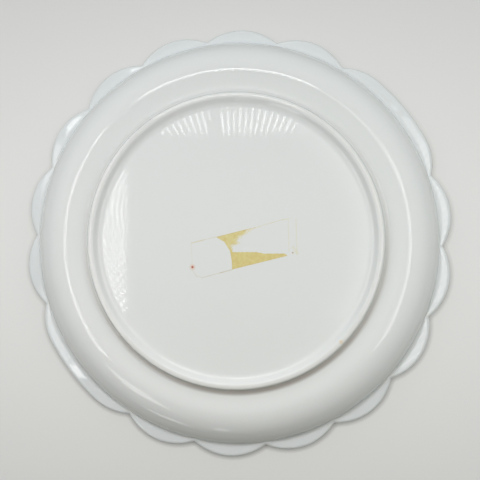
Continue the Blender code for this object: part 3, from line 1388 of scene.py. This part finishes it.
@dataclass
class LightTent:
    """White photo tent: bright cloth on its far side, a dim opening on the near one, lamps under its roof."""

    cloth: dict[TentSide, Point] = field(default_factory=lambda: {
        TentSide.FAR: (0.69, 0.75, 0.77), TentSide.LEFT_EAVE: (0.07, 0.14, 0.13),
        TentSide.FAR_EAVE: (0.95, 0.86, 0.85)})
    table_glow: Point = (0.51, 0.50, 0.46)
    horizon: Pair = (-0.02, 0.06)
    softbox_watts: float = 8.0
    softbox_size: Pair = (0.8, 0.8)
    softbox_spot: Point = (-0.06, -0.10, 1.2)
    washes: tuple[Wash, ...] = (
        Wash("wash_left", (-0.23, 0.0, 0.24), (0.32, 0.16), (1.69, 1.65, 1.62)),
        Wash("wash_right", (0.23, 0.0, 0.24), (0.32, 0.16), (1.90, 1.82, 1.66)),
        Wash("wash_roof", (0.0, 0.0, 0.335), (0.18, 0.18), (1.03, 0.42, 0.02)),
        Wash("board_far", (-0.03, 0.13, 0.33), (0.16, 0.07), (4.79, 5.89, 6.60)),
        Wash("board_left", (-0.155, 0.0, 0.33), (0.05, 0.20), (4.86, 4.99, 5.80)),
        Wash("board_right", (0.16, 0.0, 0.33), (0.05, 0.22), (3.00, 4.20, 5.58)),
        Wash("wash_near", (0.0, -0.15, 0.33), (0.16, 0.07), (1.44, 1.57, 1.10)),
    )
    panels: tuple[LedPanel, ...] = (
        LedPanel("led_left", (-153.5, 1.0), (55.0, 218.0), 14.0, 0.6, streak=0.05,
                 fan_centre=(-499.0, -491.0), lamps_per_turn=590.0),
        LedPanel("left_strip", (-194.0, -10.0), (26.0, 230.0), 3.0),
        LedPanel("left_end_lamp", (-166.0, 122.0), (34.0, 20.0), 6.0),
        LedPanel("grip_lamp", (-175.0, -111.0), (30.0, 18.0), 6.5),
        LedPanel("led_far_left", (-76.5, 126.75), (65.0, 21.5), 11.0, 0.15, streak=0.05),
        LedPanel("led_far_right", (3.5, 126.75), (73.0, 21.5), 11.0, 0.15, streak=0.05),
        LedPanel("far_strip", (-30.0, 165.0), (182.0, 38.0), 9.0, 6.0),
        LedPanel("led_right", (160.0, -6.0), (54.0, 225.0), 6.8, 2.0, fan_centre=(-340.0, -500.0),
                 lamps_per_turn=800.0),
        ClothGlow("right_glow", (87.0, 37.0), (92.0, 204.0), 1.6),
        LedPanel("right_end_lamp", (148.0, 117.0), (40.0, 20.0), 2.2),
        LedPanel("corner_lamp", (-203.0, -258.0), (112.0, 110.0), 2.8),
        LedPanel("low_lamp_left", (-465.0, -1000.0), (260.0, 300.0), 3.0),
        LedPanel("low_lamp_middle", (-111.0, -838.0), (70.0, 250.0), 3.0),
    )
    plane_size: float = 6.0
    stage_gap: float = 0.3 * MM

    def build(self, table: Matrix, height: float) -> None:
        """Make the world, the lamps and the two stage planes.

        Args:
            table: frame of the photographed table.
            height: the tray's height.
        """
        self.light_world(table)
        for lamp in (*self.washes, *self.panels):
            lamp.build(table)
        self.softbox()
        self.plane("table_top", height + self.stage_gap, Side.FROM_BELOW, table)
        self.plane("floor", -self.stage_gap, Side.FROM_ABOVE, table)

    def light_world(self, table: Matrix) -> None:
        """Light the world with the tent's cloth, each side fading into the next, and the glow of the table.

        Args:
            table: frame of the photographed table.
        """
        world = bpy.data.worlds.new("light_tent")
        bpy.context.scene.world = world
        world.use_nodes = True
        tree = world.node_tree
        way = add_node(tree, "TexCoord", output="Generated")
        total: Socket | Point = (0.0, 0.0, 0.0)
        for side, light in self.cloth.items():
            share: Socket | float = 1.0
            for direction in side.value:
                axis = table.to_3x3() @ Vector(direction)
                facing = add_node(tree, "VectorMath", {0: way, 1: axis}, "Value", operation="DOT_PRODUCT")
                ahead = add_node(tree, "Math", {0: facing, 1: 0.0}, operation="MAXIMUM")
                share = add_node(tree, "Math", {0: ahead, 1: share}, operation="MULTIPLY")
            total = add_node(tree, "VectorMath", {0: light, 1: share, 2: total}, operation="MULTIPLY_ADD")
        up = add_node(tree, "SeparateXYZ", {0: way}, "Z")
        upper = add_node(tree, "MapRange", {0: up, 1: self.horizon[0], 2: self.horizon[1]})
        light = add_node(tree, "Mix", {0: upper, 4: total, 5: self.table_glow}, 1, data_type="VECTOR")
        tree.links.new(light, tree.nodes["Background"].inputs["Color"])

    def softbox(self) -> None:
        """Hang a soft lamp over the upright tray, for the views from above."""
        lamp = area_lamp("upper_softbox", self.softbox_size)
        lamp.data.energy = self.softbox_watts
        lamp.matrix_world = aimed_from(self.softbox_spot)

    def plane(self, name: str, height: float, side: Side, table: Matrix) -> bpy.types.Object:
        """Make a stage plane that shows on one side.

        Args:
            name: the plane's name.
            height: its height.
            side: where it shows from.
            table: frame of the photographed table.

        Returns:
            The plane.
        """
        half = self.plane_size / 2
        corners = [(-half, -half, height), (half, -half, height), (half, half, height), (-half, half, height)]
        mesh = bpy.data.meshes.new(name)
        mesh.from_pydata(corners, [], [side.value])
        mesh.materials.append(StageVinyl().build(name + "_vinyl", table))
        sheet = link_object(name, mesh)
        sheet.visible_diffuse = False
        sheet.visible_glossy = False
        sheet.visible_transmission = False
        sheet.visible_shadow = False
        return sheet


def stains(mark: LabelMark) -> list[Speck]:
    """Small stains on the base and foot.

    Args:
        mark: the label's place, where a rust spot has bled at one end.

    Returns:
        The stains, the lower ones first.
    """
    def on_foot(azimuth: float, radius: float) -> Pair:
        """Plan position on the foot ring."""
        return radius * cos(radians(azimuth)), radius * sin(radians(azimuth))

    rust = mark.spot(-30.5 * MM, -3.1 * MM)
    return [
        Speck(rust, 2.2 * MM, "#DDB79B", 0.55),
        Speck(rust, 0.9 * MM, "#A2483A", 0.95),
        Speck(mark.spot(25.2 * MM, -8.8 * MM), 0.7 * MM, "#B39B6C", 0.8),
        Speck(on_foot(82.0, 80.0 * MM), 1.5 * MM, "#D9C5A0", 0.7),
        Speck(on_foot(-86.6, 81.8 * MM), 0.8 * MM, "#8E8476", 0.75),
        Speck(on_foot(-97.8, 81.8 * MM), 0.7 * MM, "#8E8476", 0.75),
    ]


def main() -> None:
    """Build the camera, the tray, its label film and the light tent."""
    logging.basicConfig(level=logging.INFO, format="%(name)s: %(message)s")
    bpy.context.scene.view_settings.view_transform = "Standard"
    shape = TrayShape()
    mark = LabelMark()
    table = photo_frame(shape.height)
    PhotoCamera().build(table)
    glass = MilkGlass().build(shape, mark, stains(mark))
    adhesive = AgedAdhesive().build(mark)
    for piece in (EggTray(shape).build(glass), LabelFilm(mark, shape.foot_depth).build(adhesive)):
        LOG.info("%s: %d faces", piece.name, len(piece.data.polygons))
    LightTent().build(table, shape.height)


if __name__ == "__main__":
    main()
